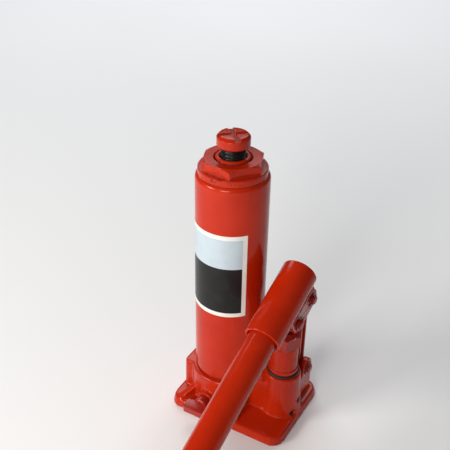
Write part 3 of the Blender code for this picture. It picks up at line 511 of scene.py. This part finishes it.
class Axis:
    """A turning axis: a point on it, its direction and the direction that the profile lies in."""

    def __init__(self, point, along, across=(1, 0, 0)):
        self.point = Vector(point)
        self.along = Vector(along).normalized()
        self.across = Vector(across).normalized()
        self.third = self.along.cross(self.across)

    def coordinates(self, point):
        """Radius, height along the axis and angle from the profile's direction."""
        arm = Vector(point) - self.point
        x, y = arm.dot(self.across), arm.dot(self.third)
        return math.hypot(x, y), arm.dot(self.along), math.atan2(y, x)

    def place(self, radius, height, angle):
        side = self.across * math.cos(angle) + self.third * math.sin(angle)
        return self.point + self.along * height + side * radius


def profile_of(node, axis):
    """A turned CAD node's profile as (radius, height) points, in a closed loop unless it meets the axis."""
    mesh = NODES[node].data
    spots = {}
    for vert in mesh.vertices:
        radius, height, angle = axis.coordinates(vert.co)
        if radius < ON_AXIS or abs(angle) < ON_PROFILE:
            spots[vert.index] = (round(radius / MM, 2), round(height / MM, 2))
    links = {}
    for edge in mesh.edges:
        a, b = edge.vertices
        if a in spots and b in spots and spots[a] != spots[b]:
            links.setdefault(spots[a], set()).add(spots[b])
            links.setdefault(spots[b], set()).add(spots[a])
    ends = [spot for spot, near in links.items() if len(near) == 1]
    here = ends[0] if ends else min(links)
    path, last = [here], None
    while True:
        onward = [spot for spot in links[here] if spot != last]
        if not onward or (onward[0] == path[0] and len(path) > 2):
            break
        last, here = here, onward[0]
        if here in path:
            break
        path.append(here)
    if ends and path[0][0] > 0:
        path.insert(0, (0.0, path[0][1]))
    if ends and path[-1][0] > 0:
        path.append((0.0, path[-1][1]))
    return [(radius * MM, height * MM) for radius, height in path], not ends


def rounded(profile, closed, radius, steps=4):
    """The profile with each corner turned into a small arc."""
    count = len(profile)
    points = [Vector(point) for point in profile]
    result = []
    for i, corner in enumerate(points):
        if not closed and i in (0, count - 1):
            result.append(corner)
            continue
        before, after = points[i - 1] - corner, points[(i + 1) % count] - corner
        turn = math.pi - before.angle(after)
        if turn < LEAST_TURN or corner.x < ON_AXIS:
            result.append(corner)
            continue
        setback = min(radius * math.tan(turn / 2), ARC_SHARE * before.length, ARC_SHARE * after.length)
        start, end = corner + before.normalized() * setback, corner + after.normalized() * setback
        for k in range(steps + 1):
            t = k / steps
            result.append(start * (1 - t) ** 2 + corner * 2 * t * (1 - t) + end * t**2)
    return [(point.x, point.y) for point in result]


def lofted(name, rows, looped=False):
    """A closed mesh through rows of points: end rows are single points or get a cap, unless looped."""
    work = bmesh.new()
    rings = [[work.verts.new(spot) for spot in row] for row in rows]
    pairs = list(zip(rings, rings[1:]))
    if looped:
        pairs.append((rings[-1], rings[0]))
    for lower, upper in pairs:
        for k in range(max(len(lower), len(upper))):
            ring = [lower[(k - 1) % len(lower)], lower[k % len(lower)]]
            ring += [upper[k % len(upper)], upper[(k - 1) % len(upper)]]
            corners = list(dict.fromkeys(ring))
            if len(corners) > 2:
                work.faces.new(corners)
    for end in (rings[0], rings[-1]):
        if len(end) > 2 and not looped:
            work.faces.new(end)
    return mesh_from(work, name)


def around(axis, radius, height, segments):
    """One row of points round an axis, or the single point where the radius comes to nothing."""
    if radius < ON_AXIS:
        return [axis.place(0, height, 0)]
    return [axis.place(radius, height, math.tau * k / segments) for k in range(segments)]


def spun(name, profile, closed, axis, segments=FULL_ROUND):
    """A mesh turned from a profile about an axis."""
    return lofted(name, [around(axis, radius, height, segments) for radius, height in profile], closed)


def respun(node, finish, axis, radius=0.4 * MM, segments=FULL_ROUND):
    """Turns a CAD node again with more facets and rounded corners, to stand for it."""
    profile, closed = profile_of(node, axis)
    mesh = spun(node + "_skin", rounded(profile, closed, radius), closed, axis, segments)
    return piece_from(node + "_skin", mesh, body_of(node), finish, node)


def softened(piece, width, angle=35):
    """Rounds a piece's sharp edges."""
    soft = piece.modifiers.new("soft_edge", "BEVEL")
    soft.width = width
    soft.segments = 2
    soft.limit_method = "ANGLE"
    soft.angle_limit = math.radians(angle)
    soft.harden_normals = True


def dressed(node, finish, bevel=0.35 * MM):
    """Keeps a CAD node, with its edges softened and its round faces shaded smooth."""
    piece = NODES[node]
    piece.data.materials.clear()
    piece.data.materials.append(finish)
    piece.data.shade_smooth()
    weld = piece.modifiers.new("weld", "WELD")
    weld.merge_threshold = 0.01 * MM
    if bevel:
        flat = piece.modifiers.new("flat", "DECIMATE")
        flat.decimate_type = "DISSOLVE"
        flat.angle_limit = math.radians(1)
        softened(piece, bevel)
    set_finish(piece, SLOT_OF[finish])


def camera():
    azimuth, pitch, roll = (math.radians(a) for a in (CAMERA_AZIMUTH, CAMERA_PITCH, CAMERA_ROLL))
    right = Vector((math.cos(azimuth), math.sin(azimuth), 0))
    ahead = Vector((-math.sin(azimuth), math.cos(azimuth), 0))
    up = Vector((0, 0, 1))
    look = ahead * math.cos(pitch) - up * math.sin(pitch)
    rise = ahead * math.sin(pitch) + up * math.cos(pitch)
    x_axis = right * math.cos(roll) + rise * math.sin(roll)
    y_axis = rise * math.cos(roll) - right * math.sin(roll)
    lens = bpy.data.cameras.new("camera")
    lens.sensor_width = SENSOR_MM
    lens.lens = FOCAL_PIXELS / IMAGE_SIDE * SENSOR_MM
    lens.shift_x = (IMAGE_SIDE / 2 - CENTRE_PIXEL_X) / IMAGE_SIDE
    lens.clip_start = 0.01
    eye = bpy.data.objects.new("camera", lens)
    turn = Matrix((x_axis, y_axis, -look)).transposed()
    eye.matrix_world = Matrix.Translation(up * CAMERA_HEIGHT - ahead * CAMERA_DISTANCE) @ turn.to_4x4()
    bpy.context.scene.collection.objects.link(eye)
    bpy.context.scene.camera = eye


def softbox(name, place, aim, size, watts, colour):
    lamp = bpy.data.lights.new(name, "AREA")
    lamp.shape = "RECTANGLE"
    lamp.size, lamp.size_y = size
    lamp.energy = watts
    lamp.color = colour
    holder = bpy.data.objects.new(name, lamp)
    holder.location = place
    holder.rotation_euler = (Vector(aim) - Vector(place)).to_track_quat("-Z", "Y").to_euler()
    bpy.context.scene.collection.objects.link(holder)


def from_camera(side, distance, height):
    """A place that many degrees to the camera's right and that far from the ram's axis."""
    angle = math.radians(CAMERA_AZIMUTH + side - 90)
    return Vector((distance * math.cos(angle), distance * math.sin(angle), height))


def studio():
    """A dim room with a pale floor, two softboxes at the front left and one over the floor behind."""
    world = bpy.data.worlds.new("studio")
    bpy.context.scene.world = world
    world.use_nodes = True
    sky = world.node_tree.nodes["Background"]
    sky.inputs["Color"].default_value = (1, 1, 1, 1)
    sky.inputs["Strength"].default_value = ROOM_LIGHT
    for name, side in (("left_softbox", LEFT_BOX_SIDE), ("front_softbox", FRONT_BOX_SIDE)):
        place = from_camera(side, BOX_DISTANCE, BOX_HEIGHT)
        softbox(name, place, BOX_AIM, BOX_SIZE, BOX_WATTS, WARM_WHITE)
    place = from_camera(180, BACK_SHEET_DISTANCE, BACK_SHEET_HEIGHT)
    far_floor = from_camera(180, FAR_FLOOR_DISTANCE, 0)
    softbox("back_sheet", place, far_floor, BACK_SHEET_SIZE, BACK_SHEET_WATTS, NEUTRAL_WHITE)
    work = bmesh.new()
    bmesh.ops.create_grid(work, x_segments=2, y_segments=2, size=FLOOR_HALF_WIDTH)
    mesh = mesh_from(work, "floor")
    mesh.materials.append(studio_floor("studio_floor"))
    floor = bpy.data.objects.new("floor", mesh)
    floor.location.z = -FLOOR_DROP
    bpy.context.scene.collection.objects.link(floor)
    bpy.context.scene.view_settings.view_transform = "Standard"


RAM_AXIS = Axis((0, 0, 0), (0, 0, 1))
PUMP_LOW, PUMP_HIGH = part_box("pump_cylinder")
PUMP_AXIS = Axis(((PUMP_LOW[0] + PUMP_HIGH[0]) / 2, 0, 0), (0, 0, 1))
LEVER_AT = Vector(JOINTS["lever_swing"]["pos_m"])
HANDLE_WAY = Vector(JOINTS["handle_pull"]["axis"])
LEVER_UP = HANDLE_WAY.cross(Vector((1, 0, 0)))
SOCKET_AXIS = Axis(LEVER_AT + PINS_TO_TUBE * LEVER_UP, HANDLE_WAY)
FILLER_WAY = Vector((math.cos(math.radians(FILLER_ANGLE)), math.sin(math.radians(FILLER_ANGLE)), 0))
FILLER_AXIS = Axis((0, 0, FILLER_HEIGHT), FILLER_WAY, (0, 0, -1))


def bar(name, middle, size, turn=None):
    """A square bar to carve with."""
    work = bmesh.new()
    place = Matrix.Translation(middle) @ (turn or Matrix()) @ Matrix.Diagonal((*size, 1))
    bmesh.ops.create_cube(work, size=1, matrix=place)
    return mesh_from(work, name)


def carved(mesh, *tools):
    """The mesh with each tool's shape cut out of it."""
    block = bpy.data.objects.new("carved", mesh)
    bpy.context.scene.collection.objects.link(block)
    helpers = []
    for tool in tools:
        helper = bpy.data.objects.new("tool", tool)
        bpy.context.scene.collection.objects.link(helper)
        helpers.append(helper)
        step = block.modifiers.new("cut", "BOOLEAN")
        step.operation = "DIFFERENCE"
        step.solver = "EXACT"
        step.object = helper
    graph = bpy.context.evaluated_depsgraph_get()
    result = bpy.data.meshes.new_from_object(block.evaluated_get(graph))
    for item in [block] + helpers:
        bpy.data.objects.remove(item, do_unlink=True)
    return result


def cast_base():
    """The base with a sand casting's soft corners: the CAD shape drawn again in small cells and relaxed."""
    mesh = NODES["base_casting"].data.copy()
    piece = piece_from("base_casting_skin", mesh, "base", CAST_ENAMEL, "base_casting")
    cells = piece.modifiers.new("cells", "REMESH")
    cells.mode = "VOXEL"
    cells.voxel_size = CASTING_CELL
    cells.use_smooth_shade = True
    relax = piece.modifiers.new("relax", "SMOOTH")
    relax.factor = 0.5
    relax.iterations = CASTING_RELAX_STEPS


def reservoir_tube():
    """The outer tube, turned finer, with a rolled-in shoulder and the filler hole through its wall."""
    low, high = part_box("reservoir_tube")
    radius, foot, top = high[0], low[2], high[2]
    bore = radius - TUBE_WALL
    arc = [math.radians(SHOULDER_SWEEP * k / SHOULDER_STEPS) for k in range(SHOULDER_STEPS + 1)]
    start = top - SHOULDER_LIP_RISE - SHOULDER_RADIUS * math.sin(arc[-1])
    inset = radius - SHOULDER_RADIUS
    profile = [(inset + SHOULDER_RADIUS * math.cos(a), start + SHOULDER_RADIUS * math.sin(a)) for a in arc]
    profile += [(SHOULDER_LIP, top), (TUBE_MOUTH, top), (TUBE_MOUTH, top - MOUTH_DEPTH)]
    profile += [(bore, top - MOUTH_TAPER_FOOT), (bore, foot)]
    profile += [(radius - TUBE_FOOT_EDGE, foot), (radius, foot + TUBE_FOOT_EDGE)]
    mesh = spun("reservoir_tube_skin", profile, True, RAM_AXIS, TUBE_ROUND)
    near, far = radius - DRILL_REACH, radius + DRILL_REACH
    drill = [(0, near), (FILLER_HOLE, near), (FILLER_HOLE, far), (0, far)]
    hole = spun("filler_hole", drill, False, FILLER_AXIS, DRILL_ROUND)
    piece_from("reservoir_tube_skin", carved(mesh, hole), "base", ENAMEL, "reservoir_tube")


def label():
    """A bare two-tone label: a white border round a pale field over a dark one, lapped round the tube."""
    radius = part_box("reservoir_tube")[1][0] + LABEL_LIFT
    border = math.degrees(LABEL_BORDER / radius)
    first, last = LABEL_MIDDLE - LABEL_HALF_WIDTH, LABEL_MIDDLE + LABEL_HALF_WIDTH
    step = (last - first - 2 * border) / LABEL_COLUMNS
    columns = [first] + [first + border + step * k for k in range(LABEL_COLUMNS + 1)] + [last]
    rows = [LABEL_FOOT, LABEL_FOOT + LABEL_BORDER, LABEL_DIVIDE, LABEL_TOP - LABEL_BORDER, LABEL_TOP]
    inside, outside = radius, radius + LABEL_THICKNESS
    slab = [(outside, height) for height in rows] + [(inside, height) for height in reversed(rows)]
    strips = [[RAM_AXIS.place(r, height, math.radians(a)) for r, height in slab] for a in columns]
    piece = piece_from("label", lofted("label", strips), "base", LABEL_WHITE)
    for tone in (LABEL_BLUE, LABEL_BLACK):
        piece.data.materials.append(tone)
    for face in piece.data.polygons:
        _, height, angle = RAM_AXIS.coordinates(face.center)
        sideways = abs(math.degrees(angle) - LABEL_MIDDLE) < LABEL_HALF_WIDTH - border
        if sideways and rows[1] < height < rows[3]:
            face.material_index = 1 if height > LABEL_DIVIDE else 2


def hexagon_nut(node, axis, flats, turn, chamfer_radius, side_foot, below, finish):
    """A nut with the curved edges that a turned chamfer leaves on its flats; below carries its profile on."""
    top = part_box(node)[1][2]
    columns = []
    for k in range(6 * COLUMNS_PER_FLAT):
        angle = math.tau * k / (6 * COLUMNS_PER_FLAT)
        edge = flats / 2 / math.cos(angle % (math.pi / 3) - math.pi / 6)
        chamfer_foot = top - (edge - chamfer_radius) * CHAMFER_SLOPE
        profile = [(chamfer_radius, top), (edge, chamfer_foot), (edge, side_foot)] + below
        columns.append([axis.place(r, z, angle + math.radians(turn)) for r, z in profile])
    mesh = lofted(node + "_skin", columns, looped=True)
    softened(piece_from(node + "_skin", mesh, "base", finish, node, smooth=28), width=0.35 * MM, angle=25)


def top_nut():
    """The hexagon, its collar and the skirt that screws into the reservoir tube."""
    low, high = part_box("top_nut")
    foot, top = low[2], high[2]
    below = [(COLLAR_RADIUS - COLLAR_EDGE_INSET, COLLAR_TOP), (COLLAR_RADIUS, COLLAR_TOP - COLLAR_EDGE)]
    below += [(COLLAR_RADIUS, COLLAR_FOOT), (SKIRT_RADIUS, COLLAR_FOOT)]
    below += [(SKIRT_RADIUS, foot), (SKIRT_BORE, foot)]
    below += [(SKIRT_BORE, SKIRT_CEILING), (NUT_BORE, SKIRT_CEILING)]
    below += [(NUT_BORE, top - (NUT_MOUTH - NUT_BORE)), (NUT_MOUTH, top)]
    hexagon_nut("top_nut", RAM_AXIS, NUT_FLATS, NUT_TURN, NUT_CHAMFER_RADIUS, COLLAR_TOP, below, WORN_ENAMEL)


def gland_nut():
    """The nut that holds the packing round the plunger."""
    low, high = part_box("pump_gland_nut")
    foot, top = low[2], high[2]
    below = [(GLAND_THREAD, foot), (GLAND_THREAD, GLAND_CEILING)]
    below += [(GLAND_BORE, GLAND_CEILING), (GLAND_BORE, top)]
    hexagon_nut("pump_gland_nut", PUMP_AXIS, GLAND_FLATS, 0, GLAND_CHAMFER_RADIUS, foot, below, PAINTED_PIN)


def ram():
    """The ground ram; its top end caught the paint when the jack was sprayed."""
    piece = respun("ram", GROUND_STEEL, RAM_AXIS)
    piece.data.materials.append(WORN_ENAMEL)
    paint_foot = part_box("ram")[1][2] - PAINTED_RAM_TOP
    for face in piece.data.polygons:
        if face.center.z > paint_foot:
            face.material_index = 1


def screw_head():
    """The red head, with a cross of two worn grooves."""
    top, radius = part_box("extension_screw")[1][2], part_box("extension_screw")[1][0]
    side = [(0, top), (radius - HEAD_BEVEL, top), (radius, top - HEAD_BEVEL)]
    side += [(radius, HEAD_FOOT + HEAD_UNDERCUT), (radius - HEAD_UNDERCUT, HEAD_FOOT), (0, HEAD_FOOT)]
    head = spun("head", rounded(side, False, HEAD_ROUNDING, steps=5), False, RAM_AXIS)
    size = (4 * radius, GROOVE_WIDTH, 2 * GROOVE_DEPTH)
    turns = [Matrix.Rotation(math.radians(GROOVE_ANGLE + 90 * k), 4, "Z") for k in range(2)]
    head = carved(head, *[bar("groove", (0, 0, top), size, turn) for turn in turns])
    piece = piece_from("extension_screw_head", head, "screw", WORN_ENAMEL, "extension_screw")
    softened(piece, width=0.45 * MM, angle=40)


def thread_radius(height, angle):
    """The screw's radius at a place on its thread, which fades in over its first turn."""
    phase = (height / THREAD_PITCH - angle / math.tau) % 1
    flank = min(1.0, max(0.0, FLANK_SLOPE * abs(phase - 0.5) - CREST_SHARE))
    fade = min(1.0, max(0.0, (height - THREAD_FOOT) / THREAD_PITCH))
    return THREAD_RADIUS - THREAD_DEPTH * flank * fade


def screw_shank():
    """The black shank: a grooved foot that holds the stop ring, and the thread above it."""
    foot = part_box("extension_screw")[0][2]
    tip, groove_top = foot + SHANK_TIP_HEIGHT, foot + SHANK_GROOVE_TOP
    shank = [(0, foot), (SHANK_TIP_RADIUS, foot), (SHANK_TIP_RADIUS, tip), (SHANK_GROOVE_RADIUS, tip)]
    shank += [(SHANK_GROOVE_RADIUS, groove_top), (SHANK_LEAD_RADIUS, groove_top)]
    shank.append((THREAD_RADIUS, foot + SHANK_LEAD_TOP))
    rows = [around(RAM_AXIS, radius, height, SMALL_ROUND) for radius, height in shank]
    count = round((HEAD_FOOT - THREAD_FOOT) / THREAD_PITCH * THREAD_ROWS_PER_TURN)
    angles = [math.tau * k / SMALL_ROUND for k in range(SMALL_ROUND)]
    for j in range(count + 1):
        height = THREAD_FOOT + (HEAD_FOOT - THREAD_FOOT) * j / count
        rows.append([RAM_AXIS.place(thread_radius(height, angle), height, angle) for angle in angles])
    mesh = lofted("thread", rows)
    piece_from("extension_screw_thread", mesh, "screw", PHOSPHATE, "extension_screw", smooth=50)


def handle_tube():
    """The handle, turned finer, with the slot across its far end that fits the release valve's key."""
    end = HANDLE_START + HANDLE_LENGTH
    profile = [(HANDLE_RADIUS, HANDLE_START), (HANDLE_RADIUS, end), (HANDLE_RADIUS - HANDLE_WALL, end)]
    profile.append((HANDLE_RADIUS - HANDLE_WALL, HANDLE_START))
    mesh = spun("handle_tube_skin", rounded(profile, True, 0.6 * MM), True, SOCKET_AXIS, HANDLE_ROUND)
    turn = Matrix((SOCKET_AXIS.across, HANDLE_WAY, LEVER_UP)).transposed().to_4x4()
    size = (4 * HANDLE_RADIUS, 2 * KEY_SLOT_DEPTH, KEY_SLOT_WIDTH)
    slot = bar("key_slot", SOCKET_AXIS.point + HANDLE_WAY * end, size, turn)
    piece = piece_from("handle_tube_skin", carved(mesh, slot), "handle", ENAMEL, "handle_tube")
    softened(piece, width=0.25 * MM, angle=40)


def weld_bead(name, side):
    """A rippled fillet weld along the line where a cheek's outer face meets the socket."""
    offset = abs(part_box("socket_cheek_right")[1][0] - LEVER_AT.x)
    drop = math.sqrt(SOCKET_RADIUS**2 - offset**2)
    corner = SOCKET_AXIS.point + Vector((side * offset, 0, 0)) - LEVER_UP * drop
    out = (Vector((side, 0, 0)) - LEVER_UP * WELD_TILT).normalized()
    other = HANDLE_WAY.cross(out)
    angles = [math.tau * k / WELD_SIDES for k in range(WELD_SIDES)]
    rows = []
    for j in range(WELD_STEPS + 1):
        along = WELD_START + (WELD_END - WELD_START) * j / WELD_STEPS
        taper = min(1.0, WELD_END_SHARE + WELD_TAPER * min(j, WELD_STEPS - j) / WELD_STEPS)
        ripple = WELD_RIPPLE_SHARE * math.sin(math.tau * along / WELD_RIPPLE)
        wave = WELD_WAVE_SHARE * math.sin(math.tau * along / WELD_WAVE + side)
        radius = WELD_RADIUS * taper * (1 + ripple + wave)
        middle = corner + HANDLE_WAY * along
        rows.append([middle + (out * math.cos(a) + other * math.sin(a)) * radius for a in angles])
    piece_from(name, lofted(name, rows), "lever", ENAMEL, smooth=60)


def pin_clip(node):
    """A sprung E-shaped clip: three prongs reach in to the pin's groove, and one side is open."""
    low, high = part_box(node)
    middle = Vector([(a + b) / 2 for a, b in zip(low, high)])
    outer = (high[2] - low[2]) / 2
    waist = outer - CLIP_WIDTH
    first = CLIP_OPENING / 2 - math.pi / 2
    last = first + math.tau - CLIP_OPENING
    prongs = (first + CLIP_PRONG_INSET, math.pi / 2, last - CLIP_PRONG_INSET)
    rows = []
    for j in range(CLIP_STEPS + 1):
        angle = first + (last - first) * j / CLIP_STEPS
        reach = max(math.exp(-(((angle - prong) / CLIP_PRONG_SPREAD) ** 2)) for prong in prongs)
        inner = waist + (CLIP_PRONG_RADIUS - waist) * reach
        side = Vector((0, math.cos(angle), math.sin(angle)))
        section = ((inner, low[0]), (outer, low[0]), (outer, high[0]), (inner, high[0]))
        rows.append([middle + side * r + Vector((x - middle.x, 0, 0)) for r, x in section])
    mesh = lofted(node + "_skin", rows)
    piece = piece_from(node + "_skin", mesh, body_of(node), PAINTED_CLIP, node)
    softened(piece, width=0.15 * MM)


camera()
studio()
cast_base()
reservoir_tube()
label()
top_nut()
gland_nut()
ram()
screw_head()
screw_shank()
respun("base_gasket", PAINTED_GASKET, RAM_AXIS)
respun("ram_wiper", POLYURETHANE, RAM_AXIS)
respun("filler_plug", RUBBER, FILLER_AXIS, radius=1.2 * MM, segments=SMALL_ROUND)
respun("pump_cylinder", ENAMEL, PUMP_AXIS)
respun("pump_seal_ring", RUBBER, PUMP_AXIS, radius=1.2 * MM)
respun("handle_socket", ENAMEL, SOCKET_AXIS, radius=0.8 * MM)
handle_tube()
weld_bead("left_cheek_weld", -1)
weld_bead("right_cheek_weld", 1)
for node in ("plunger_pin_clip", "fulcrum_pin_clip", "link_foot_pin_clip"):
    pin_clip(node)
for node in ("fulcrum_link", "socket_cheek_left", "socket_cheek_right"):
    dressed(node, ENAMEL, bevel=0.5 * MM)
for node in ("plunger_pin", "fulcrum_pin", "link_foot_pin"):
    dressed(node, PAINTED_PIN)
dressed("release_valve_screw", PAINTED_KEY, bevel=0.5 * MM)
dressed("suction_screen", ZINC, bevel=0)
for node in ("suction_plug", "delivery_plug", "relief_screw"):
    dressed(node, BLACK_STEEL, bevel=0)
dressed("plunger", GROUND_STEEL)
for node in ("top_nut_seal", "plunger_seal", "release_valve_seal"):
    dressed(node, RUBBER, bevel=0.2 * MM)
for node in ("piston_cup_seal", "plunger_packing"):
    dressed(node, POLYURETHANE, bevel=0)
dressed("cylinder_foot_washer", COPPER, bevel=0)
for node in NODES:
    if not NODES[node].hide_render and "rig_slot" not in NODES[node]:
        dressed(node, GROUND_STEEL, bevel=0)
